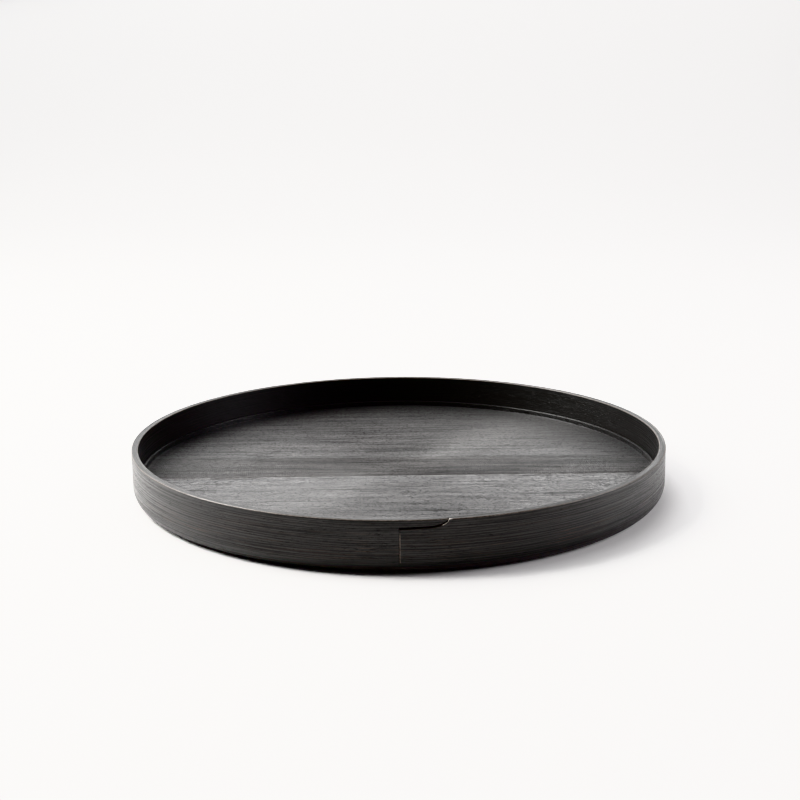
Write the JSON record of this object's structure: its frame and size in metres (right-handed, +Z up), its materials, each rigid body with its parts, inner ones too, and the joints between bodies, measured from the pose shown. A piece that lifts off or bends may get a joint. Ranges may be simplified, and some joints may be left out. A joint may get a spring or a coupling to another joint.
{
  "type": "round serving tray",
  "caption": "Round low-sided serving tray: a bent wood band with a notched lap joint round a turned, edge-joined board base, dark lacquered.",
  "frame": {"origin": "centre of the circle that the tray stands on, on the table", "axes": "+Z up out of the tray, -Y towards the lap joint of the band, +X along the joints of the boards"},
  "size_m": [0.3, 0.3, 0.0278],
  "materials": {
    "lacquered_band": "thin black lacquer over open grain, satin, with the grain running round the band",
    "lacquered_boards": "thin black lacquer over open grain and fine turning marks, satin, worn slightly grey",
    "bamboo": "bare split bamboo"
  },
  "bodies": {
    "root": {"rim_band": "lacquered_band", "base_board_front": "lacquered_boards", "base_board_middle": "lacquered_boards", "base_board_rear": "lacquered_boards", "joint_pin_front_1": "bamboo", "joint_pin_front_2": "bamboo", "joint_pin_front_3": "bamboo", "joint_pin_rear_1": "bamboo", "joint_pin_rear_2": "bamboo", "joint_pin_rear_3": "bamboo"}
  },
  "joints": []
}
